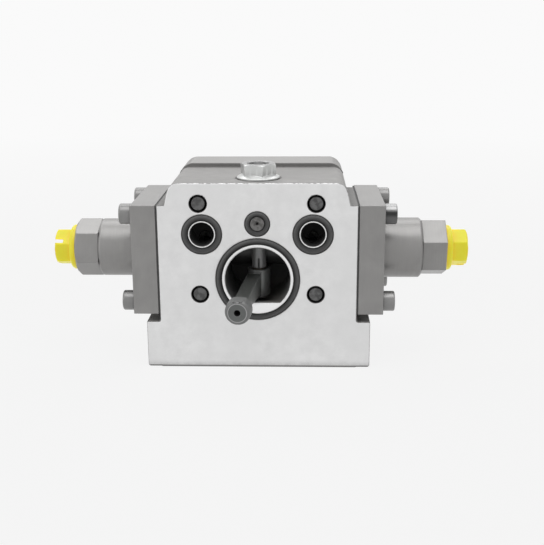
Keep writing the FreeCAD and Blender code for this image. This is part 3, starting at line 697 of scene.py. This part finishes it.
print("holes in the face:", len(face_holes))


# %% The casting's finish
def skin_paint(tree, skin, oily, edge, split):
    # cast skin, with painted shade on the two ledges and painted light on top of the raised part
    colour = mix(tree, skin["Tone"], grey(0.34, WARM), grey(0.40, WARM))
    colour = mix(tree, oily, colour, grey(0.33, WARM))
    ledge_shade = times(
        tree, maths(tree, "GREATER_THAN", maths(tree, "ABSOLUTE", split["X"]), trunk_x),
        below(tree, split["Z"], ledge_z + 0.3 * MM),
        maths(tree, "GREATER_THAN", split["Z"], ledge_z - 0.3 * MM))
    colour = mix(tree, ledge_shade, colour, grey(0.23, WARM))
    # painted light on top of the raised part
    raised = spread(tree, split["Z"], raised_z - 0.5 * MM, raised_z - 0.2 * MM)
    colour = mix(tree, raised, colour, grey(0.43, WARM))
    # lighter edges, partly wear and partly a painted highlight
    return mix(tree, edge["Share"], colour, grey(0.58))


def milled_paint(tree, place, oily, depth):
    # milled iron is mottled, and duller where it turns over an edge
    colour = mix(tree, oily, grey(0.81), grey(0.76))
    mottle = spread(tree, noise(tree, place, 130.0, 5.0, 0.65), 0.35, 0.65)
    colour = mix(tree, mottle, colour, grey(0.735))
    on_edge = times(tree, spread(tree, depth, 0.02 * MM, 0.08 * MM), below(tree, depth, 3 * MM))
    return mix(tree, on_edge, colour, grey(0.66))


def casting_finish():
    material, tree, shader, place = new_material("cast_iron")
    split = split_up(tree, place)
    skin = put(tree, cast_skin, Place=place)
    oily = put(tree, smudges, Place=place, Size=0.03)["Share"]
    edge = put(tree, worn_and_glinting_edges, Place=place, Reach=0.0008, Gain=2.5)
    milled = where_milled(tree, place, split)
    dark, in_port = where_inside(tree, place, split["Y"])

    colour = mix(tree, milled, skin_paint(tree, skin, oily, edge, split),
                 milled_paint(tree, place, oily, split["Y"]))
    for centre, radius in lips:
        lip = below(tree, around_axis(tree, place, centre, "Y"), radius)
        colour = mix(tree, times(tree, lip, milled), colour, grey(0.92))
    # painted shade along the seam, the foot's front edge and the corners
    colour = mix(tree, where_sooty(tree, place, split), colour, grey(0.07, 0.05))
    # painted shade inside: the chamber dark, a little lighter and warmer in its low right corner, and
    # the ports darkest
    low_corner = times(tree, below(tree, split["Z"], -10 * MM, 3 * MM),
                       spread(tree, split["X"], 0.0, 6 * MM))
    inside_colour = mix(tree, low_corner, grey(0.17), grey(0.2, 0.06))
    inside_colour = mix(tree, in_port, inside_colour, grey(0.04))

    metal = spread(tree, milled, 0.0, 1.0, 0.2, 0.9)
    gloss = minus(tree, spread(tree, milled, 0.0, 1.0, 0.62, 0.36), times(tree, oily, 0.07))
    arcs = put(tree, milled_marks, Across=split["Z"], Along=split["X"])["Height"]
    tool = plus(tree, times(tree, arcs, 0.05), times(tree, noise(tree, place, 2500.0, 1.0), 0.05))
    height = node(tree, "Mix", {0: milled, 2: skin["Height"], 3: tool}).outputs[0]
    fill(tree, shader, {
        "Base Color": mix(tree, dark, colour, inside_colour),
        "Metallic": times(tree, metal, spread(tree, dark, 0.0, 1.0, 1.0, 0.0)),
        "Roughness": larger(tree, gloss, times(tree, dark, 0.85)),
        "Normal": bump(tree, height, 0.12 * MM, edge["Normal"]),
    })
    return material


cast_finish = casting_finish()
print("casting finish nodes:", len(cast_finish.node_tree.nodes))

# %% [markdown]
# ## Rubber, gasket sheet and yellow plastic
#
# O-rings are matt black with a grey bloom, and their inner half is painted darker as the groove's
# shade. The gasket is pressed fibre. The shipping plugs are moulded in a soft yellow plastic: glossy
# and a little see-through. The shade in their corners is painted orange, and a glow is painted in
# for the light that comes through the plastic.

# %% Soft finishes
def rubber_finish(name, centre=None, middle=0.0, half_width=0.0):
    material, tree, shader, place = new_material(name)
    bloom = put(tree, smudges, Place=place, Size=0.006)["Share"]
    colour = mix(tree, bloom, grey(0.105), grey(0.15))
    if centre:
        lit = put(tree, ring_shade, Place=place, Centre=centre, Middle=middle, Half_width=half_width)
        colour = mix(tree, lit["Share"], grey(0.022), colour)
    fill(tree, shader, {
        "Base Color": colour,
        "Roughness": spread(tree, bloom, 0.0, 1.0, 0.5, 0.72),
        "Normal": bump(tree, noise(tree, place, 3000.0), 0.015 * MM),
    })
    return material


def gasket_finish():
    material, tree, shader, place = new_material("gasket_fibre")
    flecks = noise(tree, place, 2200.0, 4.0, 0.7)
    fill(tree, shader, {
        "Base Color": mix(tree, flecks, grey(0.09), grey(0.17)),
        "Roughness": spread(tree, flecks, 0.3, 0.7, 0.75, 0.95),
        "Normal": bump(tree, flecks, 0.04 * MM),
    })
    return material


def plastic_finish():
    material, tree, shader, place = new_material("yellow_plastic")
    edge = put(tree, worn_and_glinting_edges, Place=place, Reach=0.0005, Gain=1.2)
    cloudy = put(tree, smudges, Place=place, Size=0.008)["Share"]
    colour = mix(tree, cloudy, (0.80, 0.76, 0.03, 1), (0.79, 0.73, 0.025, 1))
    # lighter edges, partly wear and partly a painted highlight
    colour = mix(tree, edge["Share"], colour, (0.86, 0.84, 0.08, 1))
    # painted shade in the corners, in orange
    orange_corner_shade = put(tree, painted_corner_shade, Place=place, Reach=0.005)["Share"]
    colour = mix(tree, times(tree, orange_corner_shade, 1.3, clamp=True), colour, (0.86, 0.52, 0.02, 1))
    fill(tree, shader, {
        "Base Color": node(tree, "HueSaturation", {"Value": 0.7, "Color": colour}).outputs["Color"],
        # the glow stands for the light that comes through the plastic from its far side
        "Emission Color": colour,
        "Emission Strength": 0.48,
        "Roughness": spread(tree, cloudy, 0.0, 1.0, 0.28, 0.4),
        "Subsurface Weight": 0.8,
        "Subsurface Scale": 5 * MM,
        "Subsurface Radius": (1.0, 0.8, 0.2),
        "Normal": bump(tree, noise(tree, place, 1500.0, 1.0), 0.01 * MM, edge["Normal"]),
    })
    return material


seal_finish = rubber_finish("seal_rubber")
sheet_finish = gasket_finish()
yellow_finish = plastic_finish()
print("finishes:", len(bpy.data.materials))


# %% Finishes for the CAD nodes that stay as they are
def dress(material, *names):
    for name in names:
        for material_slot in nodes[name].material_slots:
            material_slot.material = material


def middle_of(name):
    low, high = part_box(name)
    return tuple((low[axis] + high[axis]) / 2 for axis in range(3))


dress(seal_finish, "adjuster_seal", "left_adapter_seal", "right_adapter_seal")
for name in ("opening_o_ring", "supply_o_ring", "left_servo_o_ring", "right_servo_o_ring"):
    low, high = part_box(name)
    half_width = (high[1] - low[1]) / 2
    middle_radius = (high[0] - low[0]) / 2 - half_width
    dress(rubber_finish(name + "_rubber", middle_of(name), middle_radius, half_width), name)
    print(name, "middle radius", round(middle_radius, 4))
dress(sheet_finish, "left_cover_gasket", "right_cover_gasket")
dress(oily_and_shaded_finish, "control_spool", "feedback_sleeve", "drive_pin")
dress(turned_finish, "left_spring_seat", "right_spring_seat")
dress(wire_finish, "retaining_ring")
dress(brass_finish, "left_damping_orifice", "right_damping_orifice")
dress(bush_finish, "lever_bush")

# %% [markdown]
# ## Broken edges
#
# No real edge is a perfect corner: a deburring wheel leaves a narrow facet that catches the light,
# and a casting's corners are rounder still. `softened` copies a CAD node's mesh, merges its loose
# triangles into whole faces, and bevels every edge sharper than a given angle. The copy then stands
# for the node. A bevel in the mesh was chosen over one in the shader alone because it also shows in
# the outline. Weighted normals then keep the broad faces flat and let only the narrow facets curve
# the light.

# %% Helpers for broken edges
flat_enough = math.radians(0.4)
sharp_enough = math.radians(25)
bevel_from = math.radians(28)


def clean_copy(name, change=None):
    shape = bmesh.new()
    shape.from_mesh(nodes[name].data)
    bmesh.ops.remove_doubles(shape, verts=shape.verts, dist=0.001 * MM)
    if change:
        change(shape)
    bmesh.ops.dissolve_limit(shape, angle_limit=flat_enough, verts=shape.verts, edges=shape.edges)
    shape.verts.index_update()
    points = [vertex.co.copy() for vertex in shape.verts]
    faces = [[vertex.index for vertex in face.verts] for face in shape.faces]
    shape.free()
    mesh = bpy.data.meshes.new(name + "_shape")
    mesh.from_pydata(points, [], faces)
    mesh.shade_smooth()
    mesh.set_sharp_from_angle(angle=sharp_enough)
    return mesh


def flattened(piece):
    # the modifiers' result as a plain mesh, with the modifiers gone
    bpy.context.view_layer.update()
    graph = bpy.context.evaluated_depsgraph_get()
    mesh = bpy.data.meshes.new_from_object(piece.evaluated_get(graph))
    piece.modifiers.clear()
    piece.data = mesh
    return piece


def without_spikes(piece, surface, reach):
    # a bevel that runs out of room throws a corner off the surface: pull it onto its neighbour
    shape = bmesh.new()
    shape.from_mesh(piece.data)
    stray = {vertex for vertex in shape.verts if surface.find_nearest(vertex.co)[3] > reach}
    targets = {}
    for vertex in stray:
        nearest = surface.find_nearest(vertex.co)[0]
        around = [edge.other_vert(vertex) for edge in vertex.link_edges]
        around = [other for other in around if other not in stray]
        if around:
            targets[vertex] = min(around, key=lambda other: (other.co - nearest).length)
    bmesh.ops.weld_verts(shape, targetmap=targets)
    shape.to_mesh(piece.data)
    shape.free()


def kept_in_box(piece, name):
    # no corner of the bevel may stand out of the CAD node's own box
    low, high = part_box(name)
    for vertex in piece.data.vertices:
        for axis in range(3):
            vertex.co[axis] = min(max(vertex.co[axis], low[axis]), high[axis])


def coated(piece, finish, name):
    # the piece takes one finish and stands for the CAD node
    piece.data.materials.clear()
    piece.data.materials.append(finish)
    for polygon in piece.data.polygons:
        polygon.material_index = 0
    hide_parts(name)


def finished(piece, finish, name):
    coated(piece, finish, name)
    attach(piece, nodes[name]["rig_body"])
    print(piece.name, "faces:", len(piece.data.polygons))
    return piece


def softened(name, width, finish, segments=2, change=None):
    piece = new_object(name + "_piece", clean_copy(name, change))
    points = [vertex.co.copy() for vertex in piece.data.vertices]
    surface = BVHTree.FromPolygons(points, [list(face.vertices) for face in piece.data.polygons])
    bevel = piece.modifiers.new("broken_edges", "BEVEL")
    bevel.width = width
    bevel.segments = segments
    bevel.limit_method = "ANGLE"
    bevel.angle_limit = bevel_from
    bevel.use_clamp_overlap = False
    flattened(piece)
    without_spikes(piece, surface, 0.9 * width)
    kept_in_box(piece, name)
    shading = piece.modifiers.new("flat_faces", "WEIGHTED_NORMAL")
    shading.keep_sharp = True
    flattened(piece)
    return finished(piece, finish, name)


# %% The body, covers, adapters and the lever
softened("valve_body", 0.35 * MM, cast_finish)
for side in ("left", "right"):
    softened(side + "_cover", 0.3 * MM, cover_finish)
    softened(side + "_port_adapter", 0.25 * MM, turned_finish)
softened("orifice_insert", 0.15 * MM, insert_finish)
softened("feedback_lever", 0.35 * MM, lever_finish)
softened("adjusting_screw", 0.15 * MM, adjuster_finish)

# %% [markdown]
# ## The centring springs
#
# Each centring spring stands between a port adapter, which stays, and a seat on the spool, which
# slides. Its coils keep the CAD shape: the piece is a copy of the CAD node's mesh in the spring wire
# finish, and the span between its two ends is measured.

# %% The centring springs
for side, outer, inner in (("left", 0, 1), ("right", 1, 0)):
    name = side + "_centring_spring"
    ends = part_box(name)
    piece = new_object(name + "_piece", nodes[name].data.copy())
    coated(piece, wire_finish, name)
    start, end = [Vector((ends[part][0], 0, 0)) for part in (outer, inner)]
    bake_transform(piece)
    print(piece.name, "blended over", round((end - start).length / MM, 1), "mm")

# %% [markdown]
# ## Turned pieces, ring by ring
#
# Screws and nuts are turned on a lathe and then get flats. `ringed` builds such a piece from a
# list of rings along its axis: each ring is a circle, or a circle cut by the six flats of a
# hexagon, which also makes the sockets. Compared with cutting a hexagon out of a cylinder, the rings
# leave clean rows of four-sided faces, so rounded edges and chamfers shade smoothly.

# %% Helpers that loft rings
def ring_reach(angle, radius, flats=None, least=0.0):
    # how far a ring reaches at an angle: a circle, cut by flats, but no less than the least radius
    if flats:
        from_flat = angle % (math.pi / 3) - math.pi / 6
        radius = min(radius, flats / 2 / math.cos(from_flat))
    return max(radius, least)


def ringed(name, rings, count=48, hollow=False):
    # each ring is (z, radius), or (z, radius, flats), or (z, radius, flats, least radius), in mm
    shape = bmesh.new()
    loops = []
    for z, *sizes in rings:
        loop = []
        for step in range(count):
            angle = 2 * math.pi * step / count
            reach = ring_reach(angle, *sizes)
            place = Vector((reach * math.cos(angle), reach * math.sin(angle), z)) * MM
            loop.append(shape.verts.new(place))
        loops.append(loop)
    pairs = list(zip(loops, loops[1:]))
    if hollow:
        pairs.append((loops[-1], loops[0]))
    else:
        shape.faces.new(list(reversed(loops[0])))
        shape.faces.new(loops[-1])
    for low, high in pairs:
        for step in range(count):
            after = (step + 1) % count
            shape.faces.new((low[step], low[after], high[after], high[step]))
    bmesh.ops.recalc_face_normals(shape, faces=shape.faces)
    mesh = bpy.data.meshes.new(name)
    shape.to_mesh(mesh)
    shape.free()
    mesh.shade_smooth()
    mesh.set_sharp_from_angle(angle=math.radians(35))
    return mesh


def rounded_corner(z, radius, size, steps=4):
    # rings that round an outer top edge
    rings = []
    for step in range(steps + 1):
        angle = math.pi / 2 * step / steps
        rings.append((z - size + size * math.sin(angle), radius - size + size * math.cos(angle)))
    return rings


def place_mesh(mesh, turn, place):
    mesh.transform(Matrix.Translation(Vector(place)) @ turn.to_4x4())


def take_in(piece, other):
    # the other piece's mesh joins the first one's, and the other piece goes
    shape = bmesh.new()
    shape.from_mesh(piece.data)
    shape.from_mesh(other.data)
    shape.to_mesh(piece.data)
    shape.free()
    bpy.data.objects.remove(other)


# %% [markdown]
# ## Screws, set out by Geometry Nodes
#
# Eight cover screws and four mounting screws are only two shapes, repeated on a rectangle. One screw
# is lofted, and a small Geometry Nodes tree copies it to the four corners, gives each its own chance
# turn, because no fitter stops every socket at the same angle, and lays the rectangle on the piece.
# A second tree winds the screw thread: a spiral that carries a four-sided profile, fading in and out.

# %% Geometry Nodes helpers
def geometry_tree(name, inputs):
    tree, given, result = node_group("GeometryNodeTree", name, inputs, {"Geometry": "Geometry"})
    return tree, given, result[0]


def stage(tree, kind, inputs=None, out=0, **settings):
    return any_node(tree, "GeometryNode" + kind, inputs, **settings).outputs[out]


def grown(name, tree, **inputs):
    # a piece whose mesh the tree makes, with the modifier already gone
    piece = new_object(name, bpy.data.meshes.new(name + "_seed"))
    modifier = piece.modifiers.new("tree", "NODES")
    modifier.node_group = tree
    values = named(inputs)
    for item in tree.interface.items_tree:
        if item.item_type == "SOCKET" and item.in_out == "INPUT" and item.name in values:
            modifier[item.identifier] = values[item.name]
    return flattened(piece)


# %% A tree that winds a thread
tree, given, result = geometry_tree("screw thread", {
    "Radius": 0.0, "Pitch": 0.0, "Turns": 0.0, "Ridge": 0.0, "Start": 0.0, "Finish": "Material"})
spiral = stage(tree, "CurveSpiral", {
    "Resolution": 32, "Rotations": given["Turns"], "Start Radius": given["Radius"],
    "End Radius": given["Radius"], "Height": times(tree, given["Pitch"], given["Turns"])})
spiral = stage(tree, "SetCurveNormal", {"Curve": spiral}, mode="Z_UP")
from_middle = maths(tree, "ABSOLUTE", minus(tree, stage(tree, "SplineParameter"), 0.5))
fading = spread(tree, from_middle, 0.42, 0.5, 1.0, 0.05)
profile = stage(tree, "CurvePrimitiveCircle", {"Resolution": 4, "Radius": given["Ridge"]})
ridge = stage(tree, "CurveToMesh", {
    "Curve": spiral, "Profile Curve": profile, "Scale": fading, "Fill Caps": True})
raised = node(tree, "CombineXYZ", {"Z": given["Start"]}).outputs[0]
ridge = stage(tree, "Transform", {"Geometry": ridge, "Translation": raised})
ridge = stage(tree, "RealizeInstances", {"Geometry": ridge})
connect(tree, stage(tree, "SetMaterial", {"Geometry": ridge, "Material": given["Finish"]}), result)
thread_tree = tree
print("thread tree nodes:", len(tree.nodes))

# %% A tree that sets four screws on a rectangle
tree, given, result = geometry_tree("screw pattern", {
    "Screw": "Object", "Spacing X": 0.0, "Spacing Y": 0.0, "Seed": 1, "Lie": "Rotation",
    "Place": "Vector", "Finish": "Material"})
corners = stage(tree, "MeshGrid", {
    "Size X": given["Spacing X"], "Size Y": given["Spacing Y"], "Vertices X": 2, "Vertices Y": 2})
screw = stage(tree, "ObjectInfo", {"Object": given["Screw"]}, "Geometry")
# input 3 is the largest value of the chance turn: one sixth of a turn brings a hexagon onto itself
chance = any_node(tree, "FunctionNodeRandomValue", {3: math.pi / 3, "Seed": given["Seed"]},
                  data_type="FLOAT").outputs[1]
turn = node(tree, "CombineXYZ", {"Z": chance}).outputs[0]
screws = stage(tree, "InstanceOnPoints", {"Points": corners, "Instance": screw, "Rotation": turn})
screws = stage(tree, "Transform", {
    "Geometry": screws, "Translation": given["Place"], "Rotation": given["Lie"]})
screws = stage(tree, "RealizeInstances", {"Geometry": screws})
connect(tree, stage(tree, "SetMaterial", {"Geometry": screws, "Material": given["Finish"]}), result)
pattern_tree = tree
print("pattern tree nodes:", len(tree.nodes))

# %% One socket screw, with its thread
THREAD_DEPTH_SHARE = 0.61
M6 = dict(radius=3.0, length=24.4, head_radius=5.1, head_height=6.0, flats=5.0, end_radius=2.4,
          pitch=1.0, wound=10.0)
M8 = dict(radius=4.0, length=73.0, head_radius=6.5, head_height=8.0, flats=6.0, end_radius=3.35,
          pitch=1.25, wound=22.0)


def socket_screw(name, radius, length, head_radius, head_height, flats, end_radius, pitch, wound):
    # the head starts at z = 0, and the thread covers the last part of the shank, in mm
    root = radius - THREAD_DEPTH_SHARE * pitch
    socket = flats / math.sqrt(3) + 0.05
    floor = head_height / 2
    rings = [(-length, end_radius - 0.15), (-length + 0.15, end_radius),
             (-length + radius - end_radius, root), (wound - length, root),
             (wound - length + 0.5, radius), (-0.3, radius), (0, radius + 0.3), (0, head_radius - 0.2),
             (0.2, head_radius)]
    rings += rounded_corner(head_height, head_radius, 0.8)
    rings += [(head_height, socket + 0.2), (head_height - 0.25, socket, flats),
              (floor, socket, flats), (floor - 0.9, 0.5)]
    body = new_object(name, ringed(name, rings))
    ridge = grown(name + "_thread", thread_tree, Radius=(root + 0.05) * MM, Pitch=pitch * MM,
                  Turns=(wound - 1.2) / pitch, Ridge=(radius - root - 0.06) * MM,
                  Start=(1.0 - length) * MM)
    take_in(body, ridge)
    return body


cover_screw = socket_screw("cover_screw", **M6)
mounting_screw = socket_screw("mounting_screw", **M8)


# %% The screws in their places
def spacing(name, axis, size):
    low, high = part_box(name)
    return high[axis] - low[axis] - 2 * size["head_radius"] * MM


for side, way, seed in (("left", -1, 7), ("right", 1, 3)):
    name = side + "_cover_screws"
    low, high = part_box(name)
    seat = (high[0] if way > 0 else low[0]) - way * M6["head_height"] * MM
    piece = grown(name + "_piece", pattern_tree, Screw=cover_screw, Seed=seed, Finish=screw_finish,
                  Spacing_X=spacing(name, 2, M6), Spacing_Y=spacing(name, 1, M6),
                  Lie=(0, way * math.pi / 2, 0), Place=(seat, *middle_of(name)[1:]))
    finished(piece, screw_finish, name)

name = "mounting_screws"
centre = middle_of(name)
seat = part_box(name)[1][1] - M8["head_height"] * MM
piece = grown(name + "_piece", pattern_tree, Screw=mounting_screw, Seed=5, Finish=dark_screw_finish,
              Spacing_X=spacing(name, 0, M8), Spacing_Y=spacing(name, 2, M8),
              Lie=(-math.pi / 2, 0, 0), Place=(centre[0], seat, centre[2]))
finished(piece, dark_screw_finish, name)
for pattern_part in (cover_screw, mounting_screw):
    bpy.data.objects.remove(pattern_part)

# %% [markdown]
# ## The lock nut
#
# A flange nut is forged with a skirt that spreads its load, and its top corners are cut back by a
# cone. Each ring is the larger of the skirt's cone and the hexagon, so the curved line where the
# two meet comes by itself. It is bright zinc, the shiniest piece in the photograph.

# %% The lock nut
nut_flats = 16.1
nut_corner = nut_flats / math.sqrt(3)
nut_height = 8.0
nut_bore = 5.04
nut_turn = math.radians(45.3)
skirt_radius = 10.85
cone_start, cone_rise = 1.3, 1.4
cone_wide, cone_narrow = 10.6, 8.05
corner_fall = (nut_corner - nut_flats / 2) * math.tan(math.radians(30)) + 0.15

rings = [(0, skirt_radius - 0.35), (0.12, skirt_radius - 0.1), (0.4, skirt_radius),
         (1.0, skirt_radius), (1.2, skirt_radius - 0.1)]
for share in [step / 12 for step in range(13)]:
    cone = cone_wide + (cone_narrow - cone_wide) * share
    rings.append((cone_start + cone_rise * share, nut_corner, nut_flats, cone))
for share in [step / 8 for step in range(9)]:
    rings.append((nut_height - corner_fall * (1 - share), nut_corner + 0.1 - 1.35 * share, nut_flats))
rings += [(nut_height, 6.1), (nut_height - 0.1, 5.85), (nut_height - 0.9, nut_bore), (0, nut_bore)]
nut_mesh = ringed("lock_nut_rings", rings, count=96, hollow=True)
nut_place = (*middle_of("lock_nut")[:2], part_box("lock_nut")[0][2])
place_mesh(nut_mesh, Matrix.Rotation(nut_turn, 3, "Z"), nut_place)
finished(new_object("lock_nut_piece", nut_mesh), zinc_finish, "lock_nut")

# %% [markdown]
# ## The shipping plugs
#
# The plugs keep dirt out of the pilot ports until the valve is fitted. Each is one plastic
# moulding: a threaded shank, a round-edged flange, a hexagon and a slot for a coin. The copy of the
# CAD shape keeps the slot, its shank is turned down to the thread's root, and the thread tree winds
# the ridge that shows when the plug is out.

# %% The plugs
plug_shank = 6.96 * MM
plug_shank_length = 9.0 * MM
plug_root = 6.2 * MM
plug_pitch = 1.5 * MM
plug_turns = 4.6
bore_middle = Vector((0.0, 29.25, 9.6)) * MM


def slimmer_shank(way, seat):
    def change(shape):
        for vertex in shape.verts:
            out = vertex.co - bore_middle
            out.x = 0
            on_shank = way * vertex.co.x < seat + 0.01 * MM
            if on_shank and abs(out.length - plug_shank) < 0.1 * MM:
                vertex.co -= out * (1 - plug_root / plug_shank)
    return change


for side, way in (("left", -1), ("right", 1)):
    name = side + "_port_plug"
    low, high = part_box(name)
    start = low[0] if way > 0 else -high[0]
    piece = softened(name, 0.3 * MM, yellow_finish, 3,
                     slimmer_shank(way, start + plug_shank_length))
    ridge = grown("ridge", thread_tree, Radius=plug_root + 0.04 * MM, Pitch=plug_pitch,
                  Turns=plug_turns, Ridge=plug_shank - plug_root - 0.06 * MM, Start=0.9 * MM)
    place_mesh(ridge.data, Matrix.Rotation(way * math.pi / 2, 3, "Y"),
               (way * start, bore_middle.y, bore_middle.z))
    take_in(piece, ridge)
    print(piece.name, "faces with thread:", len(piece.data.polygons))
